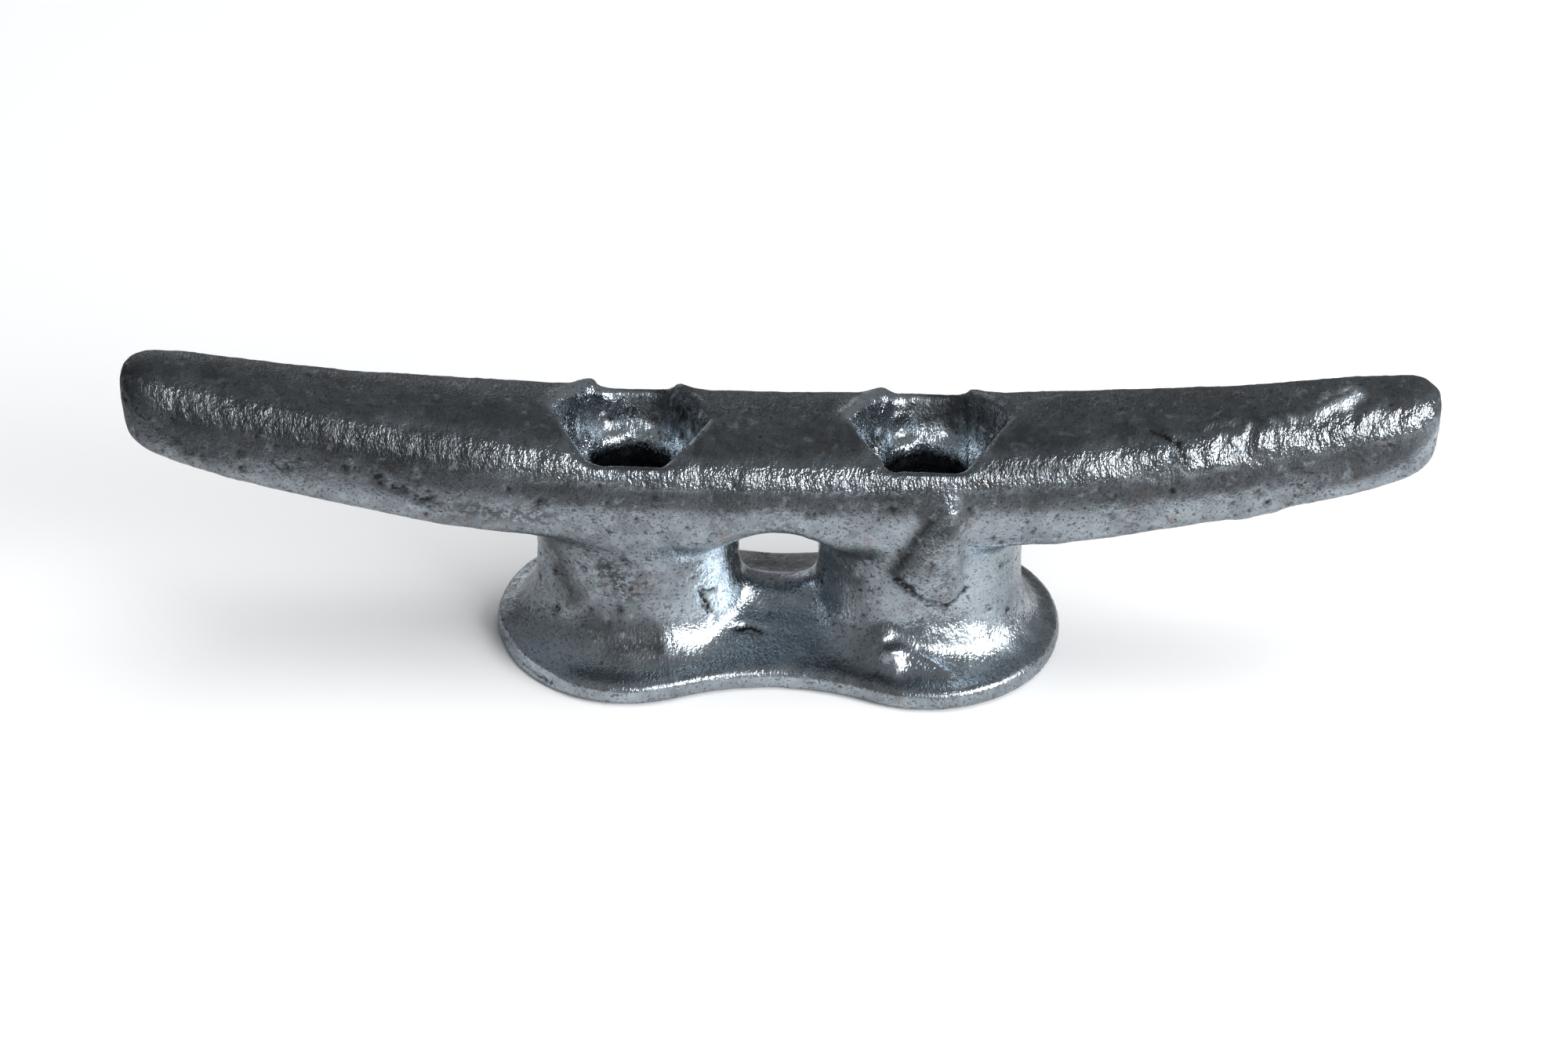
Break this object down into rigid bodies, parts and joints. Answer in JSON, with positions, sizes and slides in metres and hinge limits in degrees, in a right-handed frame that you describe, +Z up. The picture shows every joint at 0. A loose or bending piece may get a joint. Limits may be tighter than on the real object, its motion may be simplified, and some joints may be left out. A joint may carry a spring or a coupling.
{
  "type": "dock cleat",
  "caption": "Open-base dock cleat: a bar with upswept horns on flared posts and a dog-bone base, with hexagonal bolt-head pockets, for belaying mooring lines.",
  "frame": {"origin": "centre of the underside of the base, midway between the two bolt holes", "axes": "+X along the horns and the line of bolt holes, +Z up out of the dock"},
  "size_m": [0.203, 0.0422, 0.0495],
  "materials": {
    "galvanised_iron": "hot-dip galvanised, rough as cast under bright zinc"
  },
  "bodies": {
    "root": {"cleat_casting": "galvanised_iron"}
  },
  "joints": []
}
